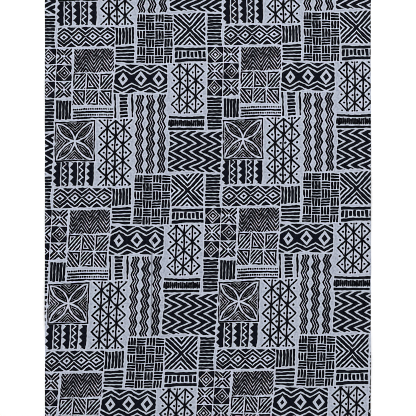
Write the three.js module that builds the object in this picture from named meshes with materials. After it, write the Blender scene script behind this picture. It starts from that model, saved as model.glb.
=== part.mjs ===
// A cut length of African wax print cotton, lying flat on a surface with its face up.
// Millimetres, +Z up. The origin is on the surface under the middle of the cloth.
// +X runs across the cloth and +Y along its length.
import * as THREE from "three";

// Driving dimensions
const CLOTH_WIDTH = 644;
const CLOTH_LENGTH = 830;
const SHEET_THICKNESS = 1.2;

// Spacing of the mesh lines over the flat cloth
const COLUMN_STEP = 23;
const ROW_STEP = 26;

// The crease left by the cloth's old fold runs along the warp, which leans a little to the right.
// Its line touches the surface, and the cloth beside it rises a little and then settles again.
const CREASE_X = -106.5;
const CREASE_LEAN = 0.03;
const CREASE_REACH = 64;
const CREASE_COLUMNS = 7;
const CREASE_FADE = 55;

// The two stretches where the crease shows, the lower one more clearly
const CREASES = [
  { fromY: -300, toY: -60, swell: 1.2 },
  { fromY: 65, toY: 245, swell: 0.7 },
];

// Low broad swells where the crisp cloth doesn't quite lie down.
// turn is the angle of the swell's long axis from +X, in degrees.
const SWELLS = [
  { x: 175, y: 215, halfLength: 165, halfWidth: 62, turn: 68, height: 1.5 },
  { x: 85, y: -250, halfLength: 150, halfWidth: 58, turn: 104, height: 1.3 },
  { x: -225, y: -30, halfLength: 140, halfWidth: 50, turn: 80, height: 1.1 },
];

// Places where a cut edge lifts a little. along is measured on the edge from its middle.
const EDGE_LIFTS = [
  { edge: "right", along: 30, halfLength: 120, depth: 45, height: 2.6 },
  { edge: "right", along: -290, halfLength: 80, depth: 34, height: 1.8 },
  { edge: "left", along: 215, halfLength: 110, depth: 42, height: 2.4 },
  { edge: "left", along: -205, halfLength: 90, depth: 36, height: 1.9 },
  { edge: "top", along: -150, halfLength: 95, depth: 40, height: 2.2 },
  { edge: "top", along: 200, halfLength: 75, depth: 34, height: 1.7 },
  { edge: "bottom", along: 160, halfLength: 105, depth: 40, height: 2.3 },
];

// A smooth bump: 1 at the middle, 0 with no slope from distance 1 outwards
function bump(distance) {
  const inside = Math.max(0, 1 - distance * distance);
  return inside * inside;
}

// Smooth rise from 0 to 1 as value goes from low to high
function rise(value, low, high) {
  const part = Math.min(1, Math.max(0, (value - low) / (high - low)));
  return part * part * (3 - 2 * part);
}

// Height beside one stretch of crease: a narrow V at the line, and a long slope back to the surface
function creaseLift(x, y, crease) {
  const lineX = CREASE_X + CREASE_LEAN * y;
  const across = Math.min(1, Math.abs(x - lineX) / CREASE_REACH);
  const fade =
    rise(y, crease.fromY - CREASE_FADE, crease.fromY + CREASE_FADE) *
    (1 - rise(y, crease.toY - CREASE_FADE, crease.toY + CREASE_FADE));
  return crease.swell * fade * Math.sin(Math.PI * Math.sqrt(across)) ** 2;
}

// Height of one broad swell
function swellLift(x, y, swell) {
  const angle = THREE.MathUtils.degToRad(swell.turn);
  const along = ((x - swell.x) * Math.cos(angle) + (y - swell.y) * Math.sin(angle)) / swell.halfLength;
  const across = ((y - swell.y) * Math.cos(angle) - (x - swell.x) * Math.sin(angle)) / swell.halfWidth;
  return swell.height * bump(Math.hypot(along, across));
}

// Height of one lifted stretch of edge, highest at the cut and flat from its depth inwards
function edgeLift(x, y, lift) {
  const inward = {
    right: CLOTH_WIDTH / 2 - x,
    left: CLOTH_WIDTH / 2 + x,
    top: CLOTH_LENGTH / 2 - y,
    bottom: CLOTH_LENGTH / 2 + y,
  }[lift.edge];
  const position = lift.edge === "left" || lift.edge === "right" ? y : x;
  const along = (position - lift.along) / lift.halfLength;
  return lift.height * bump(along) * (1 - rise(inward, 0, lift.depth)) ** 2;
}

// How far the cloth stands off the surface at a point
function clothLift(x, y) {
  let height = 0;
  for (const crease of CREASES) {
    height += creaseLift(x, y, crease);
  }
  for (const swell of SWELLS) {
    height += swellLift(x, y, swell);
  }
  for (const lift of EDGE_LIFTS) {
    height += edgeLift(x, y, lift);
  }
  return height;
}

// Evenly spaced positions from low to high, both ends included, no further apart than step
function spaced(low, high, step) {
  const count = Math.ceil((high - low) / step);
  return Array.from({ length: count + 1 }, (_, i) => low + ((high - low) * i) / count);
}

// Positions of the mesh lines across the cloth, closest together at the crease's line
function columnPositions() {
  const beside = Array.from({ length: CREASE_COLUMNS }, (_, i) => {
    return CREASE_REACH * ((i + 1) / CREASE_COLUMNS) ** 2;
  });
  const left = spaced(-CLOTH_WIDTH / 2, CREASE_X - CREASE_REACH, COLUMN_STEP).slice(0, -1);
  const right = spaced(CREASE_X + CREASE_REACH, CLOTH_WIDTH / 2, COLUMN_STEP).slice(1);
  const leftOfLine = beside.map((distance) => CREASE_X - distance).reverse();
  const rightOfLine = beside.map((distance) => CREASE_X + distance);
  return [...left, ...leftOfLine, CREASE_X, ...rightOfLine, ...right];
}

// Where a mesh line passes at a given y: beside the crease it leans with it, at the edges it is straight
function leaningX(column, y) {
  const edgeX = column < CREASE_X ? -CLOTH_WIDTH / 2 : CLOTH_WIDTH / 2;
  const bandX = CREASE_X + Math.sign(column - CREASE_X) * CREASE_REACH;
  const share = Math.min(1, Math.abs(column - edgeX) / Math.abs(bandX - edgeX));
  return column + CREASE_LEAN * y * share;
}

// The closed sheet: an underside on the lift and a face one thickness above it, joined at the edges
function sheetGeometry() {
  const columns = columnPositions();
  const rows = spaced(-CLOTH_LENGTH / 2, CLOTH_LENGTH / 2, ROW_STEP);
  const layerSize = columns.length * rows.length;
  const points = [];
  for (const layerHeight of [0, SHEET_THICKNESS]) {
    for (const y of rows) {
      for (const column of columns) {
        const x = leaningX(column, y);
        points.push(x, y, clothLift(x, y) + layerHeight);
      }
    }
  }

  const triangles = [];
  const pointAt = (column, row, layer) => layer * layerSize + row * columns.length + column;
  const addQuad = (a, b, c, d) => triangles.push(a, b, c, a, c, d);
  const lastColumn = columns.length - 1;
  const lastRow = rows.length - 1;
  for (let row = 0; row < lastRow; row += 1) {
    for (let column = 0; column < lastColumn; column += 1) {
      const corners = [[column, row], [column + 1, row], [column + 1, row + 1], [column, row + 1]];
      addQuad(...corners.map(([c, r]) => pointAt(c, r, 1)));
      addQuad(...corners.reverse().map(([c, r]) => pointAt(c, r, 0)));
    }
  }

  // The cut edges, walked once around the cloth, counter-clockwise seen from above
  const rim = [];
  for (let column = 0; column < lastColumn; column += 1) {
    rim.push([column, 0]);
  }
  for (let row = 0; row < lastRow; row += 1) {
    rim.push([lastColumn, row]);
  }
  for (let column = lastColumn; column > 0; column -= 1) {
    rim.push([column, lastRow]);
  }
  for (let row = lastRow; row > 0; row -= 1) {
    rim.push([0, row]);
  }
  rim.forEach(([column, row], i) => {
    const [nextColumn, nextRow] = rim[(i + 1) % rim.length];
    addQuad(
      pointAt(column, row, 0),
      pointAt(nextColumn, nextRow, 0),
      pointAt(nextColumn, nextRow, 1),
      pointAt(column, row, 1),
    );
  });

  const geometry = new THREE.BufferGeometry();
  geometry.setAttribute("position", new THREE.Float32BufferAttribute(points, 3));
  geometry.setIndex(triangles);
  geometry.computeVertexNormals();
  return geometry;
}

// Printed cotton seen from afar: navy ink over about half of a pale grey-blue ground
const printedCotton = new THREE.MeshStandardMaterial({
  color: new THREE.Color(0x656873),
  roughness: 0.85,
  metalness: 0,
});

const cloth = new THREE.Mesh(sheetGeometry(), printedCotton);
cloth.name = "cloth";

const fabric = new THREE.Group();
fabric.add(cloth);

export default fabric;
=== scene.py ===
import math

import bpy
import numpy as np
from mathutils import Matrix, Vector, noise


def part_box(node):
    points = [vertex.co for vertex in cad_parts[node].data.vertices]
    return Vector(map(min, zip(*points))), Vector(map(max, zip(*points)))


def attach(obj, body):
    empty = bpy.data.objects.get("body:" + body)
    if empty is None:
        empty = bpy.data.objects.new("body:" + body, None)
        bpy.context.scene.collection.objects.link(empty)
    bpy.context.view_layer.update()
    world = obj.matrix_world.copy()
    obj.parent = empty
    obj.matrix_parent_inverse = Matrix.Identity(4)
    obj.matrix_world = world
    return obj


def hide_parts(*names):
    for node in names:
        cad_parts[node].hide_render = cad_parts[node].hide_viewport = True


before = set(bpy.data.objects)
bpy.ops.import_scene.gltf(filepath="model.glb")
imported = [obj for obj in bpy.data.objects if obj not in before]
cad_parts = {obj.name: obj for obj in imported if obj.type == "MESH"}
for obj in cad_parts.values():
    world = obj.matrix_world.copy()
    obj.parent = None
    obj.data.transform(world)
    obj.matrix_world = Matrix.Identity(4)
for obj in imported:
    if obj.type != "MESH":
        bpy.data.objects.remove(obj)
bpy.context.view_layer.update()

# A cut length of African wax print cotton, lying face up on a pale floor, seen from straight above.
# Metres, +Z up. +X runs across the cloth and +Y along it, towards the top of the photograph.
# The print and the weave are drawn in millimetres of the cloth's own grain.

MM = 0.001

# The photograph: a square picture in which the cloth fills this rectangle
PHOTO_SIDE_PX = 416
CLOTH_LEFT_PX = 44.7
CLOTH_RIGHT_PX = 370.9

# The cloth, from its CAD solid
sheet_low, sheet_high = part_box("cloth")
WIDTH = sheet_high.x - sheet_low.x
LENGTH = sheet_high.y - sheet_low.y
METRES_PER_PX = WIDTH / (CLOTH_RIGHT_PX - CLOTH_LEFT_PX)
THICKNESS = 0.45 * MM
FLOOR_GAP = 0.15 * MM

# Spacing of the mesh lines, which come close together beside the crease
COLUMN_STEP = 4.2 * MM
ROW_STEP = 4.2 * MM
FINEST_STEP = 0.9 * MM
STEP_GROWTH = 1.5
GRADED_STEPS = 40
SHARP_ANGLE = 50

# The fold's crease, nearly straight up the cloth, with a low rise on both sides of two stretches of it.
# Each stretch gives how dark the painted shade along the crease is there, on top of a fainter painted
# shade line along the whole crease.
CREASE_X = -110 * MM
CREASE_LEAN = 0.004
CREASE_REACH = 64 * MM
CREASE_FADE = 55 * MM
CREASE_PAINTED_SHADE = 0.16
CREASES = [
    {"from_y": -300 * MM, "to_y": -60 * MM, "swell": 1.2 * MM, "painted_shade": 0.36},
    {"from_y": 65 * MM, "to_y": 245 * MM, "swell": 0.7 * MM, "painted_shade": 0.12},
]

# Low broad swells. turn is the angle of the long axis from +X, in degrees.
SWELLS = [
    {"x": 175, "y": 215, "half_length": 165, "half_width": 62, "turn": 68, "height": 1.5},
    {"x": 85, "y": -250, "half_length": 150, "half_width": 58, "turn": 104, "height": 1.3},
    {"x": -225, "y": -30, "half_length": 140, "half_width": 50, "turn": 80, "height": 1.1},
]

# Lifted stretches of the cut edges, in millimetres. along is measured from the edge's middle.
EDGE_LIFTS = [
    {"edge": "right", "along": 30, "half_length": 120, "depth": 45, "height": 2.6},
    {"edge": "right", "along": -290, "half_length": 80, "depth": 34, "height": 1.8},
    {"edge": "left", "along": 215, "half_length": 110, "depth": 42, "height": 2.4},
    {"edge": "left", "along": -205, "half_length": 90, "depth": 36, "height": 1.9},
    {"edge": "top", "along": -150, "half_length": 95, "depth": 40, "height": 2.2},
    {"edge": "top", "along": 200, "half_length": 75, "depth": 34, "height": 1.7},
    {"edge": "bottom", "along": 160, "half_length": 105, "depth": 40, "height": 2.3},
]

# Small puckers all over, in millimetres, which are higher near the cut edges. PUCKER_SPREAD is how much
# of the noise below 0 still stands off the floor.
PUCKER_SPREAD = 0.45
PUCKERS = [
    {"spacing": 90, "height": 0.50},
    {"spacing": 36, "height": 0.25},
    {"spacing": 15, "height": 0.08},
]
EDGE_PUCKERING = 1.5
EDGE_BAND = 35 * MM

# How far the cut edges stray inwards, and how long their waves are
EDGE_STRAY = 0.9 * MM
EDGE_WAVE = 45 * MM

# Share of the bake map's side that the cloth's plan fills, and that it fills with its cut edges
PLAN_SHARE = 0.992
FRAME_SHARE = 0.998

# How the cloth lies off its grain: stretched a little more towards the bottom, with the warp leaning
# to the left as it comes down and the weft rising to the right
STRETCH_PER_M = 0.042
WARP_LEAN = 0.027
WARP_BEND_PER_M = 0.04
WEFT_LEAN = 0.012

# The print's repeat, in millimetres, and the units that its patches are laid out in. A repeat's top left
# corner is shifted this far from the cloth's middle.
REPEAT_WIDTH = 333.8
REPEAT_HEIGHT = 320.0
UNITS_ACROSS = 40
UNITS_DOWN = 38
UNIT_X = REPEAT_WIDTH / UNITS_ACROSS
UNIT_Y = REPEAT_HEIGHT / UNITS_DOWN
SHIFT_RIGHT = 151.0
SHIFT_DOWN = 167.0

# The bare gap between patches, and how far inside a patch's border its strokes stop, in millimetres
PATCH_GAP = 1.4
PATCH_INSET = 1.1

# Strokes of the print, in millimetres. ROUNDING softens their ends, and FAR is past the reach of any ink.
STROKE = 4.65
THIN_STROKE = 3.2
FINE_STROKE = 2.85
BOLD_STROKE = 5.7
BAR_PITCH = 6.8
RAIL = 5.6
THIN_RAIL = 4.7
RAIL_INSET = 2.0
LOZENGE = 32.0
ROUNDING = 2.4
FAR = 20.0

# The unsteady hand: slow sway and quick shake of the lines' places and widths, in millimetres
SWAY_SIZE = 32.0
SWAY = 4.0
WIDTH_SWAY = 0.8
SHAKE_SIZE = 6.0
SHAKE = 1.6
WIDTH_SHAKE = 1.2

# How unevenly the strokes stop short of their patch's border, in millimetres
FRAY_SIZE = 9.0
FRAY = 7.0

# How far each patch leans, as a slope, and strays from its place, in millimetres. The turns make these
# different for every patch.
PATCH_LEAN = 0.022
PATCH_STRAY = 1.1
LEAN_TURN = 2.4
STRAY_TURN_U = 4.1
STRAY_TURN_V = 3.3

# The ink on the threads, in millimetres: how far it spreads, and how soft and ragged its edge is
INK_SPREAD = 0.45
EDGE_SOFTNESS = 0.3
RAGGEDNESS = 0.25

# The weave, in millimetres: thread spacing, the size of the slubs in the threads, and of the mottling
THREAD_PITCH = 0.5
SLUB_WIDTH = 0.7
SLUB_LENGTH = 16.0
MOTTLE_SIZE = 4.0
THREAD_CROSSING = 0.5
WEAVE_RELIEF = 0.06
SLUB_RELIEF = 0.10
BUMP_STRENGTH = 0.6

# Where in the fourth dimension each noise of the weave is read, so that no two are alike
WARP_NOISE = 0.0
WEFT_NOISE = 5.0
MOTTLE_NOISE = 9.0

# Darkest and palest colour of the bare cloth and of the ink, 0 to 255, over the range of the mottling.
# Beside the edge of the ink the cloth is palest and the ink is darkest. The bands are distances from it.
CLOTH_COLOURS = [(143, 150, 166), (178, 184, 198)]
EDGE_CLOTH = (184, 189, 203)
EDGE_CLOTH_BAND = (0.8, 3.0)
INK_COLOURS = [(0, 1, 8), (19, 22, 33)]
EDGE_INK = (0, 0, 3)
EDGE_INK_BAND = (-1.2, -2.6)
SHADE_RANGE = (-0.2, 0.2)
SLUB_SHADE = 0.3
CLOTH_ROUGHNESS = 0.82
INK_ROUGHNESS = 0.62
SPECULAR_LEVEL = 0.03
SHEEN = 0.01
SHEEN_ROUGHNESS = 0.4

# Width of the painted shade line along the crease, from its darkest part to where it ends, and its waver,
# in millimetres
CREASE_LINE = (2.5, 0.7)
CREASE_WAVER = 0.3
CREASE_TURN = 0.11
CREASE_ENDS = (-20, 30)

# Strength of the light from all round: at the horizon and above the band that fades out from it
HORIZON_LIGHT = 0.85
SKY_LIGHT = 0.655
HORIZON_BAND = (0.2, 0.35)

FLOOR_HALF = 12.0
FLOOR_GREY = 0.93
FLOOR_ROUGHNESS = 0.9
FLOOR_SPECULAR = 0.1
CAMERA_HEIGHT = 2.3
PIXEL_FILTER = 0.85


# Shape of the cloth

def bump_of(away):
    """1 at the middle, 0 with no slope from 1 away outwards"""
    return np.maximum(0, 1 - away**2) ** 2


def rise(value, low, high):
    """Smooth rise from 0 to 1 as value goes from low to high"""
    part = np.clip((value - low) / (high - low), 0, 1)
    return part * part * (3 - 2 * part)


def grain_place(x, y):
    """The point of the flat, unstretched cloth that lies at x, y, in metres from its middle"""
    down = WEFT_LEAN * x - y
    grain_down = down - STRETCH_PER_M / 2 * down**2
    grain_x = (x + WARP_LEAN * down + WARP_BEND_PER_M * down**2) / (1 + STRETCH_PER_M * down)
    return grain_x, -grain_down


def crease_place(y):
    """Where the crease runs, across the cloth"""
    return CREASE_X + CREASE_LEAN * y


def crease_lift(x, y, crease):
    """Two low rises side by side, with the crease between them"""
    across = np.minimum(1, np.abs(x - crease_place(y)) / CREASE_REACH)
    start = rise(y, crease["from_y"] - CREASE_FADE, crease["from_y"] + CREASE_FADE)
    end = rise(y, crease["to_y"] - CREASE_FADE, crease["to_y"] + CREASE_FADE)
    return crease["swell"] * start * (1 - end) * np.sin(np.pi * np.sqrt(across)) ** 2


def swell_lift(x, y, swell):
    angle = math.radians(swell["turn"])
    from_x = x - swell["x"] * MM
    from_y = y - swell["y"] * MM
    along = (from_x * math.cos(angle) + from_y * math.sin(angle)) / (swell["half_length"] * MM)
    across = (from_y * math.cos(angle) - from_x * math.sin(angle)) / (swell["half_width"] * MM)
    return swell["height"] * MM * bump_of(np.hypot(along, across))


def edge_lift(x, y, lift):
    inward = {
        "right": WIDTH / 2 - x,
        "left": WIDTH / 2 + x,
        "top": LENGTH / 2 - y,
        "bottom": LENGTH / 2 + y,
    }[lift["edge"]]
    place = y if lift["edge"] in ("left", "right") else x
    along = (place - lift["along"] * MM) / (lift["half_length"] * MM)
    return lift["height"] * MM * bump_of(along) * (1 - rise(inward, 0, lift["depth"] * MM)) ** 2


def smooth_noise(x, y, spacing):
    """Smooth noise about 0, different for every spacing"""
    return np.array([noise.noise((px / spacing, py / spacing, spacing / MM)) for px, py in zip(x, y)])


def pucker_lift(x, y):
    """Small uneven rises, never below the surface"""
    inward = np.minimum(WIDTH / 2 - np.abs(x), LENGTH / 2 - np.abs(y))
    strength = 1 + EDGE_PUCKERING * (1 - rise(inward, 0, EDGE_BAND))
    height = np.zeros_like(x)
    for pucker in PUCKERS:
        waves = smooth_noise(x, y, pucker["spacing"] * MM)
        height += pucker["height"] * MM * strength * np.maximum(0, waves + PUCKER_SPREAD)
    return height


def cloth_lift(x, y):
    """How far the cloth's underside stands off the floor"""
    height = pucker_lift(x, y)
    for crease in CREASES:
        height += crease_lift(x, y, crease)
    for swell in SWELLS:
        height += swell_lift(x, y, swell)
    for lift in EDGE_LIFTS:
        height += edge_lift(x, y, lift)
    return height


def spread_out(reach):
    """Distances from the crease to a cut edge, in steps that grow to the usual one"""
    steps = np.minimum(COLUMN_STEP, FINEST_STEP * STEP_GROWTH ** np.arange(GRADED_STEPS))
    grown = np.concatenate([[0], np.cumsum(steps)])
    even_count = math.ceil((reach - grown[-1]) / COLUMN_STEP)
    return np.concatenate([grown, np.linspace(grown[-1], reach, even_count + 1)[1:]])


def mesh_grid():
    """Points of the mesh seen from above, in rows, with one column along the crease"""
    to_left = spread_out(WIDTH / 2 + CREASE_X)
    to_right = spread_out(WIDTH / 2 - CREASE_X)
    columns = CREASE_X + np.concatenate([-to_left[:0:-1], to_right])
    rows = np.linspace(-LENGTH / 2, LENGTH / 2, math.ceil(LENGTH / ROW_STEP) + 1)
    x, y = np.meshgrid(columns, rows)
    weight = np.interp(x, [-WIDTH / 2, CREASE_X, WIDTH / 2], [0, 1, 0])
    return x + (crease_place(y) - CREASE_X) * weight, y


def stray_inwards(place, along, half_size):
    """The same places, with those at the two cut edges moved in a little, by more or less"""
    waves = smooth_noise(along.ravel(), np.sign(place).ravel() * half_size, EDGE_WAVE).reshape(along.shape)
    at_edge = rise(np.abs(place), half_size - EDGE_BAND, half_size)
    return place - np.sign(place) * at_edge * EDGE_STRAY * np.clip(waves + 0.5, 0, 1)


def outline_map(x, y, share):
    """The plan view stretched to a square picture, less a margin"""
    across = 0.5 + x / WIDTH * share
    up = 0.5 + y / LENGTH * share
    return np.column_stack([across, up])


def cloth_mesh():
    """A closed thin sheet: face, underside and cut edges"""
    grid_x, grid_y = mesh_grid()
    down, across = grid_x.shape
    strayed_x = stray_inwards(grid_x, grid_y, WIDTH / 2).ravel()
    strayed_y = stray_inwards(grid_y, grid_x, LENGTH / 2).ravel()
    lift = cloth_lift(strayed_x, strayed_y) + FLOOR_GAP
    underside = np.column_stack([strayed_x, strayed_y, lift])
    face = underside + [0, 0, THICKNESS]

    layer = across * down
    index = np.arange(layer).reshape(down, across)
    low_left, low_right = index[:-1, :-1].ravel(), index[:-1, 1:].ravel()
    top_left, top_right = index[1:, :-1].ravel(), index[1:, 1:].ravel()
    face_quads = np.column_stack([low_left, low_right, top_right, top_left]) + layer
    under_quads = np.column_stack([low_left, top_left, top_right, low_right])
    rim = np.concatenate([index[0, :-1], index[:-1, -1], index[-1, :0:-1], index[:0:-1, 0]])
    next_rim = np.roll(rim, -1)
    rim_quads = np.column_stack([rim, next_rim, next_rim + layer, rim + layer])

    mesh = bpy.data.meshes.new("wax_print_cloth")
    quads = np.concatenate([face_quads, under_quads, rim_quads])
    mesh.from_pydata(np.concatenate([underside, face]).tolist(), [], quads.tolist())
    mesh.shade_smooth()
    mesh.set_sharp_from_angle(angle=math.radians(SHARP_ANGLE))

    # The flat map holds each point's place on the grain, in metres
    corner_points = np.empty(len(mesh.loops), int)
    mesh.loops.foreach_get("vertex_index", corner_points)
    grain = np.column_stack(grain_place(strayed_x, strayed_y))
    mesh.uv_layers.new(name="flat").data.foreach_set("uv", grain[corner_points % layer].ravel())

    # The bake map is the plan view, both sides alike, inside a narrow frame for the cut edges
    plan = outline_map(grid_x.ravel(), grid_y.ravel(), PLAN_SHARE)
    frame_edge = outline_map(grid_x.ravel(), grid_y.ravel(), FRAME_SHARE)
    bake = plan[corner_points % layer]
    first_rim_corner = (len(face_quads) + len(under_quads)) * 4
    low_rim_corner = (np.arange(len(corner_points)) >= first_rim_corner) & (corner_points < layer)
    bake[low_rim_corner] = frame_edge[corner_points[low_rim_corner]]
    mesh.uv_layers.new(name="OFBake").data.foreach_set("uv", bake.ravel())
    return mesh


# Numbers that vary over the cloth, as nodes of its material

class Field:
    """One output of the material's nodes, which Python's own signs combine into more nodes"""

    tree = None

    def __init__(self, socket):
        self.socket = socket

    def __add__(self, other):
        return calculated("ADD", self, other)

    def __sub__(self, other):
        return calculated("SUBTRACT", self, other)

    def __rsub__(self, other):
        return calculated("SUBTRACT", other, self)

    def __mul__(self, other):
        return calculated("MULTIPLY", self, other)

    def __truediv__(self, other):
        return calculated("DIVIDE", self, other)

    def __abs__(self):
        return calculated("ABSOLUTE", self)


def plug(value, socket):
    """Links a field to a node's input, or sets a plain number there"""
    if isinstance(value, Field):
        Field.tree.links.new(value.socket, socket)
    else:
        socket.default_value = value


def calculated(operation, *values):
    node = Field.tree.nodes.new("ShaderNodeMath")
    node.operation = operation
    for value, socket in zip(values, node.inputs):
        plug(value, socket)
    return Field(node.outputs[0])


def least(first, *others):
    for other in others:
        first = calculated("MINIMUM", first, other)
    return first


def most(first, *others):
    for other in others:
        first = calculated("MAXIMUM", first, other)
    return first


def soft_most(first, second):
    """The larger of two distances, with the corner between them rounded off"""
    return calculated("SMOOTH_MAX", first, second, ROUNDING)


def floor_of(value):
    return calculated("FLOOR", value)


def fraction(value):
    return calculated("FRACT", value)


def sine(value):
    return calculated("SINE", value)


def cosine(value):
    return calculated("COSINE", value)


def odd(number):
    """1 for an odd whole number and 0 for an even one"""
    return calculated("FLOORED_MODULO", number, 2)


def nearest(value, spacing, first=0.0):
    """Distance to the nearest of a row of places, spaced evenly from the first one"""
    if first:
        value = value - first
    return calculated("PINGPONG", value, spacing / 2)


def within(value, low, high):
    """Brings a value into a range by whole steps of the range's size"""
    return calculated("WRAP", value, high, low)


def distance(across, up):
    combine = Field.tree.nodes.new("ShaderNodeCombineXYZ")
    plug(across, combine.inputs["X"])
    plug(up, combine.inputs["Y"])
    length = Field.tree.nodes.new("ShaderNodeVectorMath")
    length.operation = "LENGTH"
    Field.tree.links.new(combine.outputs[0], length.inputs[0])
    return Field(length.outputs["Value"])


def ramp(value, low, high, to_low=0.0, to_high=1.0):
    """Value's range low to high taken to another one, and held at its ends"""
    node = Field.tree.nodes.new("ShaderNodeMapRange")
    plug(value, node.inputs["Value"])
    for name, number in zip(("From Min", "From Max", "To Min", "To Max"), (low, high, to_low, to_high)):
        node.inputs[name].default_value = number
    return Field(node.outputs["Result"])


def noise_at(x, y, z=0.0, w=0.0, detail=0.0):
    """Three unrelated noises about 0, from a point in four dimensions"""
    combine = Field.tree.nodes.new("ShaderNodeCombineXYZ")
    for value, socket in zip((x, y, z), combine.inputs):
        plug(value, socket)
    node = Field.tree.nodes.new("ShaderNodeTexNoise")
    node.noise_dimensions = "4D"
    node.inputs["Scale"].default_value = 1.0
    node.inputs["Detail"].default_value = detail
    Field.tree.links.new(combine.outputs[0], node.inputs["Vector"])
    plug(w, node.inputs["W"])
    parts = Field.tree.nodes.new("ShaderNodeSeparateXYZ")
    Field.tree.links.new(node.outputs["Color"], parts.inputs[0])
    return [Field(output) - 0.5 for output in parts.outputs]


def printed_noise(u, v, feature):
    """Noise that repeats with the print, because it is read on a ring in each direction"""
    ring_u = REPEAT_WIDTH / feature / math.tau
    ring_v = REPEAT_HEIGHT / feature / math.tau
    turn_u = u * (math.tau / REPEAT_WIDTH)
    turn_v = v * (math.tau / REPEAT_HEIGHT)
    return noise_at(
        cosine(turn_u) * ring_u,
        sine(turn_u) * ring_u,
        cosine(turn_v) * ring_v,
        sine(turn_v) * ring_v,
    )


# Motifs of the print. Each takes a point measured from its patch's middle, and the patch's size, and
# gives the distance to the nearest edge of ink, in millimetres, below 0 on the ink.

def numbered_rows(y, height, pitch):
    """The number of the row that a point is in, and its distance from the row's middle"""
    count = max(1, round(height / pitch))
    step = height / count
    place = y / step + count / 2
    return floor_of(place), abs(fraction(place) - 0.5) * step


def bars(x, y, width, height, stagger=2.4, stroke=STROKE, pitch=BAR_PITCH):
    """Level bars one above the other, with uneven ends"""
    length_turn = 2.4
    shift_turn = 4.1
    number, across = numbered_rows(y, height, pitch)
    half_length = sine(number * length_turn) * (stagger / 2) + (width - stagger) / 2
    shift = sine(number * shift_turn + 1) * (stagger / 3)
    return soft_most(across - stroke / 2, abs(x - shift) - half_length)


def upright_bars(x, y, width, height):
    return bars(y, x, height, width)


def ladder(x, y, width, height):
    """Two uprights with short rungs between them"""
    rung_length = width * 0.4
    uprights = abs(abs(x) - (width - STROKE) / 2) - STROKE / 2
    rungs = bars(x, y, rung_length, height, stagger=1.6)
    return least(uprights, rungs)


def rules(x, y, width, height):
    """Level rules, every other one broken into dashes"""
    row_pitch = 6.2
    dash_pitch = 4.4
    dash_length = 3.1
    number, across = numbered_rows(y, height, row_pitch)
    dashes = nearest(x, dash_pitch) - dash_length / 2
    unbroken = odd(number) * FAR - FAR
    return soft_most(across - THIN_STROKE / 2, dashes + unbroken)


def lattice(x, y, width, height):
    """Two columns of lozenges with spines, and dots inside and between them"""
    half = LOZENGE / 2
    inner_place = half * 0.36
    inner_dot = 1.9
    outer_place = half * 0.70
    outer_dot = 2.0
    from_spine = abs(abs(x) - half)
    from_middle = nearest(y, LOZENGE)
    outline = abs(from_spine + from_middle - half) * math.sqrt(0.5)
    lines = least(outline, from_spine, abs(x))
    inner_dots = distance(from_spine - inner_place, from_middle) - inner_dot
    outer_dots = distance(from_spine - outer_place, from_middle - half) - outer_dot
    return least(lines - FINE_STROKE / 2, inner_dots, outer_dots)


def leaf_square(x, y, width, height):
    """A framed square with four veined leaves to its corners, and fine hatching between them"""
    half = min(width, height) / 2
    right, up = abs(x), abs(y)
    ring = most(right, up)
    frame_line = abs(ring - (half - THIN_STROKE / 2)) - THIN_STROKE / 2

    # Each leaf is the overlap of two circles, on the diagonal from a little off the middle
    leaf_start = 2.6
    leaf_reach = 0.87
    leaf_slimness = 0.145
    leaf_length = (half - THIN_STROKE) * math.sqrt(2) * leaf_reach
    leaf_half_width = leaf_length * leaf_slimness
    radius = (leaf_length**2 / 4 + leaf_half_width**2) / (2 * leaf_half_width)
    along = (right + up) * math.sqrt(0.5)
    across = abs(right - up) * math.sqrt(0.5)
    leaf = distance(along - leaf_length / 2 - leaf_start, across + (radius - leaf_half_width)) - radius
    vein_pitch = 3.4
    vein_stroke = 1.9
    first_vein = -1.2
    veins = most(leaf, nearest(leaf, vein_pitch, first_vein) - vein_stroke / 2)

    # The hatching starts outside a pale outline of the leaf, and ends inside a pale line in the frame
    outline = 3.6
    first_hatch = 1.0
    first_stroke = 1.6
    hatch_pitch = 3.7
    hatch_stroke = 1.84
    frame_gap = 1.6
    around_leaf = abs(leaf - outline - first_hatch) - first_stroke / 2
    hatching = least(around_leaf, nearest(across, hatch_pitch) - hatch_stroke / 2)
    hatched = most(hatching, outline - leaf, ring - (half - THIN_STROKE - frame_gap))
    return least(frame_line, veins, hatched)


def cell_place(x, y, width, height, columns, rows):
    """The cell of a grid that a point is in: its column and row, and the place from its middle"""
    cell_width = width / columns
    cell_height = height / rows
    place_x = x / cell_width + columns / 2
    place_y = y / cell_height + rows / 2
    from_x = (fraction(place_x) - 0.5) * cell_width
    from_y = (fraction(place_y) - 0.5) * cell_height
    return floor_of(place_x), floor_of(place_y), from_x, from_y


def triangle_cells(x, y, width, height, columns=3, rows=2):
    """Cells cut by a diagonal, with stripes on one side and nested triangles on the other"""
    margin = 1.3
    pitch = 5.4
    first_line = 1.8
    stroke = 3.0
    column, row, from_x, from_y = cell_place(x, y, width, height, columns, rows)
    half_width = width / columns / 2
    half_height = height / rows / 2
    slant = half_width * half_height / math.hypot(half_width, half_height)
    side = 1 - odd(column) * 2
    turned_x = from_x * side * (1 - odd(column + row) * 2)
    turned_y = from_y * side
    depth = (turned_x / half_width + turned_y / half_height) * slant
    depth = least(half_width - turned_x, half_height - turned_y, depth)
    lines = nearest(depth - margin, pitch, first_line) - stroke / 2
    cell = most(abs(from_x) - (half_width - margin), abs(from_y) - (half_height - margin))
    return most(lines, cell)


def zigzag_height(place, period, height):
    """A triangle wave from 0 to its height, 0 where the place is a whole number of periods"""
    return nearest(place, period) * (2 * height / period)


def zigzag_lines(along, across, period, height, pitch, stroke):
    """Zigzag strokes one beside another. pitch is measured square to the strokes."""
    slope = math.hypot(1, 2 * height / period)
    return nearest(across - zigzag_height(along, period, height), pitch * slope) / slope - stroke / 2


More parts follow.
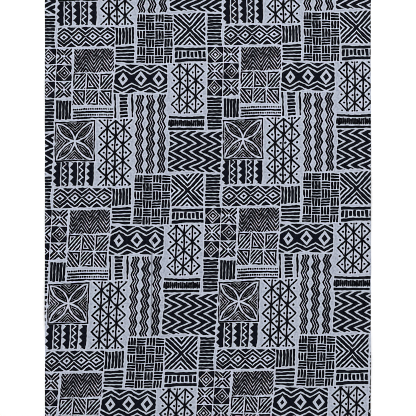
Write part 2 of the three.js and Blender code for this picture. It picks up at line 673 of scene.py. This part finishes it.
def fine_zigzag(x, y, width, height):
    """Thin steep zigzag lines, one above the other"""
    period = width / 2.5
    wave_height = period * 0.72
    pitch = 4.5
    return zigzag_lines(x, y, period, wave_height, pitch, FINE_STROKE)


def bold_zigzag(x, y, width, height):
    """Bold sideways zigzags, close beside one another"""
    period = height / 2.6
    wave_height = period * 0.95
    pitch = 9.1
    return zigzag_lines(y, x, period, wave_height, pitch, BOLD_STROKE)


def ribbons(x, y, width, height, count=3):
    """Wavy upright ribbons of three lines each, out of step with one another"""
    period = 21.0
    wave_height = 5.0
    step_up = 9.0
    middle_line = 2.7
    outer_line = 3.5
    outer_place = 4.8
    spacing = width / count
    number = floor_of(x / spacing + count / 2)
    wave = zigzag_height(y + number * step_up, period, wave_height)
    from_ribbon = nearest(x - wave + wave_height / 2, spacing)
    return least(from_ribbon - middle_line / 2, abs(from_ribbon - outer_place) - outer_line / 2)


def crossed_chevrons(x, y, width, height):
    """A bold diagonal cross with nested chevrons in its four sides"""
    pitch = 6.9
    stroke = 3.6
    cross_stroke = 5.2
    across = abs(abs(x) - abs(y) * (width / height)) * math.sqrt(0.5)
    return least(nearest(across, pitch) - stroke / 2, across - cross_stroke / 2)


def basket(x, y, width, height, columns=4, rows=6):
    """Cells of three bars, upright and level by turns"""
    stroke = 3.65
    margin = 0.9
    column, row, from_x, from_y = cell_place(x, y, width, height, columns, rows)
    upright = odd(column + row)
    level = 1 - upright

    # The bars are drawn in a square, which is then stretched to the cell
    half = (width / columns + height / rows) / 4
    bar_pitch = half * 0.64
    square_x = from_x * (half * 2 * columns / width)
    square_y = from_y * (half * 2 * rows / height)
    across = square_x * upright + square_y * level
    along = square_y * upright + square_x * level
    return soft_most(nearest(across, bar_pitch) - stroke / 2, abs(along) - (half - margin))


def lozenge_band(x, y, width, height):
    """Bold lozenges in a row, between bold zigzags and a border of small triangles"""
    period = width / 3
    lozenge_slope = 1.25
    zigzag_slope = 0.53
    core_size = 4.0
    lozenge_size = 9.2
    body_reach = 15.1
    zigzag_reach = 20.6
    zigzag_stroke = 5.0
    border_reach = 26.3
    size_turn = 2.0
    size_change = 1.6
    from_centre = nearest(x, period)
    swelling = sine(floor_of(x / period + 0.5) * size_turn + 0.5) * size_change
    lozenge = (from_centre * lozenge_slope + abs(y) - swelling) / math.hypot(1, lozenge_slope)
    out = (from_centre * zigzag_slope + abs(y)) / math.hypot(1, zigzag_slope)
    body = most(lozenge_size - lozenge, out - body_reach)
    zigzag = abs(out - zigzag_reach) - zigzag_stroke / 2
    return least(lozenge - core_size, body, zigzag, border_reach - out)


def eye_band(x, y, width, height):
    """Smaller nested lozenges in a row"""
    period = width / 4
    slope = 0.8
    core_size = 2.2
    inner_place = 7.2
    inner_stroke = 3.2
    outer_place = 13.0
    outer_stroke = 3.8
    border_reach = 17.9
    from_centre = nearest(x, period, period / 2)
    out = (from_centre * slope + abs(y)) / math.hypot(1, slope)
    inner_ring = abs(out - inner_place) - inner_stroke / 2
    outer_ring = abs(out - outer_place) - outer_stroke / 2
    return least(out - core_size, inner_ring, outer_ring, border_reach - out)


def saw_columns(x, y, width, height, count=5):
    """Toothed columns, every other one a solid column with a light zigzag in it"""
    spacing = width / count
    gap = 2.5
    depth = 7.4
    period = 13.4
    light_stroke = 2.8
    light_place = 2.1
    slant = 1 / math.hypot(1, 2 * depth / period)
    place = x / spacing + count / 2
    from_left = fraction(place) * spacing
    from_teeth = from_left - zigzag_height(y, period, depth)
    solid = odd(floor_of(place)) * FAR
    teeth = 0 - from_teeth * slant - solid
    light_line = light_stroke / 2 - abs(from_teeth - light_place) * slant - (FAR - solid)
    return most(teeth, light_line, from_left - (spacing - gap))


def checkers(x, y, width, height, columns=2, rows=3):
    """Nested lozenges with dark corners, and crosses of petals, by turns"""
    margin = 1.2
    column, row, from_x, from_y = cell_place(x, y, width, height, columns, rows)
    half_width = width / columns / 2
    half_height = height / rows / 2
    slant = half_width * half_height / math.hypot(half_width, half_height)
    crossed = odd(column + row)

    ring_pitch = 4.2
    ring_stroke = 2.1
    first_ring = 3.4
    pale_centre = 1.8
    out = (abs(from_x) / half_width + abs(from_y) / half_height) * slant
    rings = most(nearest(out, ring_pitch, first_ring) - ring_stroke / 2, pale_centre - out)
    lozenges = least(rings, slant - out)

    petal_place = 5.2
    petal_stroke = 3.1
    pale_middle = 2.8
    across = abs(abs(from_x) - abs(from_y)) * math.sqrt(0.5)
    petals = least(across, abs(across - petal_place)) - petal_stroke / 2
    petals = soft_most(petals, pale_middle - distance(from_x, from_y))

    cell = most(abs(from_x) - (half_width - margin), abs(from_y) - (half_height - margin))
    return most(lozenges * (1 - crossed) + petals * crossed, cell)


def rails(y, height, thickness):
    """Two level rules along the patch's edges"""
    return abs(abs(y) - (height - thickness) / 2 + RAIL_INSET) - thickness / 2


def block_band(x, y, width, height):
    """Short blocks between two bold rules"""
    clearance = 7.6
    block_height = height - 2 * RAIL - clearance
    blocks = bars(y, x, block_height, width, stagger=1.6, stroke=5.4, pitch=8.6)
    return least(rails(y, height, RAIL), blocks)


def tick_band(x, y, width, height):
    """Thin ticks between two rules"""
    clearance = 8.8
    tick_height = height - 2 * THIN_RAIL - clearance
    ticks = bars(y, x, tick_height, width, stagger=1.2, stroke=3.3, pitch=4.2)
    return least(rails(y, height, THIN_RAIL), ticks)


# The repeat's patches, in units from its top left corner: motif, left, top, width, height
PATCHES = [
    (lattice, 35, 35, 9, 16),
    (ribbons, 4, 29, 8, 19),
    (bold_zigzag, 12, 0, 13, 10),
    (leaf_square, 25, 35, 10, 10),
    (saw_columns, 25, 7, 10, 6),
    (basket, 4, 10, 9, 12),
    (crossed_chevrons, 13, 10, 8, 8),
    (bars, 21, 10, 4, 8),
    (eye_band, 25, 13, 14, 5),
    (upright_bars, 39, 13, 5, 4.5),
    (bars, 39, 17.5, 5, 4.5),
    (block_band, 13, 18, 8, 4),
    (lozenge_band, 39, 22, 13, 7),
    (checkers, 21, 18, 8, 12),
    (fine_zigzag, 29, 18, 10, 6),
    (triangle_cells, 29, 24, 10, 8),
    (rules, 29, 32, 10, 3),
    (lattice, 12, 22, 9, 12.1),
    (tick_band, 12, 34.1, 9, 3.9),
    (bars, 21, 30, 4, 8),
    (upright_bars, 25, 30, 4, 5),
    (ladder, 39, 29, 5, 6),
]


def patch_ink(u, v, fray, number, motif, left, top, units_wide, units_high):
    """Distance to the ink of one patch, in the repeat nearest to the point"""
    lean = PATCH_LEAN * math.sin(number * LEAN_TURN)
    middle_u = (left + units_wide / 2) * UNIT_X + PATCH_STRAY * math.sin(number * STRAY_TURN_U)
    middle_v = -(top + units_high / 2) * UNIT_Y + PATCH_STRAY * math.cos(number * STRAY_TURN_V)
    across = within(u, middle_u - REPEAT_WIDTH / 2, middle_u + REPEAT_WIDTH / 2) - middle_u
    up = within(v, middle_v - REPEAT_HEIGHT / 2, middle_v + REPEAT_HEIGHT / 2) - middle_v
    x = across + up * lean
    y = up - across * lean
    width = units_wide * UNIT_X - PATCH_GAP
    height = units_high * UNIT_Y - PATCH_GAP
    outside = most(abs(x) - width / 2, abs(y) - height / 2)
    return soft_most(motif(x, y, width, height), outside + fray)


def print_distance(u, v):
    """Distance to the nearest edge of ink anywhere in the print, drawn with an unsteady hand"""
    sway = printed_noise(u, v, SWAY_SIZE)
    shake = printed_noise(u, v, SHAKE_SIZE)
    hand_u = u + sway[0] * SWAY + shake[0] * SHAKE
    hand_v = v + sway[1] * SWAY + shake[1] * SHAKE
    fray = most(printed_noise(u, v, FRAY_SIZE)[0] * FRAY, 0) + PATCH_INSET
    ink = FAR
    for number, patch in enumerate(PATCHES):
        ink = least(patch_ink(hand_u, hand_v, fray, number, *patch), ink)
    return ink + shake[2] * WIDTH_SHAKE + sway[2] * WIDTH_SWAY - INK_SPREAD


# Materials

def colour(red, green, blue):
    """A picture's colour, 0 to 255, as linear light"""
    def linear(level):
        share = level / 255
        return share / 12.92 if share <= 0.04045 else ((share + 0.055) / 1.055) ** 2.4
    return (linear(red), linear(green), linear(blue), 1.0)


def mixed(factor, first, second):
    """A colour between two others"""
    node = Field.tree.nodes.new("ShaderNodeMix")
    node.data_type = "RGBA"
    plug(factor, node.inputs["Factor"])

    # The sockets for colours come after those for numbers and vectors, under the same names
    first_colour, second_colour = node.inputs[6], node.inputs[7]
    plug(first, first_colour)
    plug(second, second_colour)
    return Field(node.outputs[2])


def crease_painted_shade(grain_x, grain_y):
    """Painted shade along the fold's crease: how far it darkens the cloth, 0 away from it"""
    # The point's place as the cloth lies, the other way round from grain_place
    down = grain_y * grain_y * (STRETCH_PER_M * MM / 2) - grain_y
    leaning = down * WARP_LEAN + down * down * (WARP_BEND_PER_M * MM)
    x = grain_x * (down * (STRETCH_PER_M * MM) + 1) - leaning
    y = x * WEFT_LEAN - down

    waver = sine(y * CREASE_TURN) * CREASE_WAVER
    line = ramp(abs(x - y * CREASE_LEAN - CREASE_X / MM + waver), *CREASE_LINE)
    outside, inside = CREASE_ENDS
    painted_shade = CREASE_PAINTED_SHADE
    for crease in CREASES:
        start = ramp(y, crease["from_y"] / MM + outside, crease["from_y"] / MM + inside)
        end = ramp(y, crease["to_y"] / MM - outside, crease["to_y"] / MM - inside)
        painted_shade = start * end * crease["painted_shade"] + painted_shade
    return line * painted_shade


def woven_height(x, y):
    """Plain weave: rounded threads that pass over and under one another, 0 to about 1"""
    warp, weft = x / THREAD_PITCH, y / THREAD_PITCH
    warp_wave, weft_wave = cosine(warp * math.pi), cosine(weft * math.pi)
    over = warp_wave * weft_wave * THREAD_CROSSING
    return most(abs(warp_wave) + over, abs(weft_wave) - over)


def printed_cotton():
    material = bpy.data.materials.new("printed_cotton")
    material.use_nodes = True
    tree = material.node_tree
    Field.tree = tree
    shader = tree.nodes["Principled BSDF"]

    flat = tree.nodes.new("ShaderNodeUVMap")
    flat.uv_map = "flat"
    parts = tree.nodes.new("ShaderNodeSeparateXYZ")
    tree.links.new(flat.outputs[0], parts.inputs[0])
    grain_x = Field(parts.outputs["X"]) / MM
    grain_y = Field(parts.outputs["Y"]) / MM

    # Cloth: threads of uneven thickness along both directions, and soft mottling
    warp_slubs = noise_at(grain_x / SLUB_WIDTH, grain_y / SLUB_LENGTH, w=WARP_NOISE)[0]
    weft_slubs = noise_at(grain_x / SLUB_LENGTH, grain_y / SLUB_WIDTH, w=WEFT_NOISE)[0]
    slubs = warp_slubs + weft_slubs
    mottling = noise_at(grain_x / MOTTLE_SIZE, grain_y / MOTTLE_SIZE, w=MOTTLE_NOISE, detail=2.0)[0]
    weave = woven_height(grain_x, grain_y)

    # Print: the edge of the ink follows the threads a little
    ink = print_distance(grain_x - SHIFT_RIGHT, grain_y + SHIFT_DOWN)
    cover = ramp(ink + slubs * RAGGEDNESS, EDGE_SOFTNESS, -EDGE_SOFTNESS)

    shade = ramp(mottling + slubs * SLUB_SHADE, *SHADE_RANGE)
    ground = mixed(shade, *[colour(*levels) for levels in CLOTH_COLOURS])
    ground = mixed(ramp(ink, *EDGE_CLOTH_BAND), colour(*EDGE_CLOTH), ground)
    dark = mixed(shade, *[colour(*levels) for levels in INK_COLOURS])
    dark = mixed(ramp(ink, *EDGE_INK_BAND), colour(*EDGE_INK), dark)
    # The ink and the painted shade along the crease both darken the cloth here
    darkest = most(cover, crease_painted_shade(grain_x, grain_y))
    plug(mixed(darkest, ground, dark), shader.inputs["Base Color"])
    plug(ramp(cover, 0, 1, CLOTH_ROUGHNESS, INK_ROUGHNESS), shader.inputs["Roughness"])
    shader.inputs["Specular IOR Level"].default_value = SPECULAR_LEVEL
    shader.inputs["Sheen Weight"].default_value = SHEEN
    shader.inputs["Sheen Roughness"].default_value = SHEEN_ROUGHNESS

    bump = tree.nodes.new("ShaderNodeBump")
    bump.inputs["Strength"].default_value = BUMP_STRENGTH
    bump.inputs["Distance"].default_value = MM
    plug(weave * WEAVE_RELIEF + slubs * SLUB_RELIEF, bump.inputs["Height"])
    tree.links.new(bump.outputs[0], shader.inputs["Normal"])
    return material


def floor_paint():
    material = bpy.data.materials.new("floor_paint")
    material.use_nodes = True
    shader = material.node_tree.nodes["Principled BSDF"]
    shader.inputs["Base Color"].default_value = (FLOOR_GREY, FLOOR_GREY, FLOOR_GREY, 1)
    shader.inputs["Roughness"].default_value = FLOOR_ROUGHNESS
    shader.inputs["Specular IOR Level"].default_value = FLOOR_SPECULAR
    return material


# The scene

def add_object(name, data):
    made = bpy.data.objects.new(name, data)
    bpy.context.scene.collection.objects.link(made)
    return made


def make_cloth():
    cloth = add_object("wax_print_cloth", cloth_mesh())
    cloth.data.materials.append(printed_cotton())
    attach(cloth, "root")
    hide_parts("cloth")


def make_floor():
    side = FLOOR_HALF
    mesh = bpy.data.meshes.new("floor")
    corners = [(-side, -side, 0), (side, -side, 0), (side, side, 0), (-side, side, 0)]
    mesh.from_pydata(corners, [], [(0, 1, 2, 3)])
    mesh.materials.append(floor_paint())
    add_object("floor", mesh)


def make_camera():
    """Straight above, with the photograph's height of cloth filling the picture"""
    view_side = PHOTO_SIDE_PX * METRES_PER_PX
    cloth_middle_px = (CLOTH_LEFT_PX + CLOTH_RIGHT_PX) / 2
    data = bpy.data.cameras.new("camera")
    data.sensor_fit = "HORIZONTAL"
    data.lens = data.sensor_width * (CAMERA_HEIGHT - THICKNESS) / view_side
    camera = add_object("camera", data)
    camera.location = ((PHOTO_SIDE_PX / 2 - cloth_middle_px) * METRES_PER_PX, 0, CAMERA_HEIGHT)
    bpy.context.scene.camera = camera


def add_light(name, place, size, watts):
    data = bpy.data.lights.new(name, "AREA")
    data.shape = "DISK"
    data.size = size
    data.energy = watts
    light = add_object(name, data)
    light.location = place
    light.rotation_euler = (-Vector(place)).to_track_quat("-Z", "Y").to_euler()


def add_sun(name, towards, softness, strength):
    """Even soft light from one side. softness is the angle that the light comes from, in degrees."""
    data = bpy.data.lights.new(name, "SUN")
    data.angle = math.radians(softness)
    data.energy = strength
    light = add_object(name, data)
    light.location = towards
    light.rotation_euler = Vector(towards).to_track_quat("Z", "Y").to_euler()


def make_world():
    """Even light from all round, paler towards the horizon, where it meets the floor"""
    world = bpy.data.worlds.new("studio")
    world.use_nodes = True
    Field.tree = world.node_tree
    background = world.node_tree.nodes["Background"]
    background.inputs["Color"].default_value = (1, 1, 1, 1)
    directions = Field.tree.nodes.new("ShaderNodeTexCoord")
    parts = Field.tree.nodes.new("ShaderNodeSeparateXYZ")
    Field.tree.links.new(directions.outputs["Generated"], parts.inputs[0])
    height = Field(parts.outputs["Z"])
    plug(ramp(height, *HORIZON_BAND, HORIZON_LIGHT, SKY_LIGHT), background.inputs["Strength"])
    bpy.context.scene.world = world


def make_lights():
    add_sun("key_light", towards=(-0.55, 0.6, 1.0), softness=35, strength=1.0)
    add_light("near_light", place=(0.3, 2.0, 2.4), size=1.2, watts=30)
    make_world()
    bpy.context.scene.view_settings.view_transform = "Standard"
    bpy.context.scene.cycles.filter_width = PIXEL_FILTER


make_camera()
make_floor()
make_cloth()
make_lights()
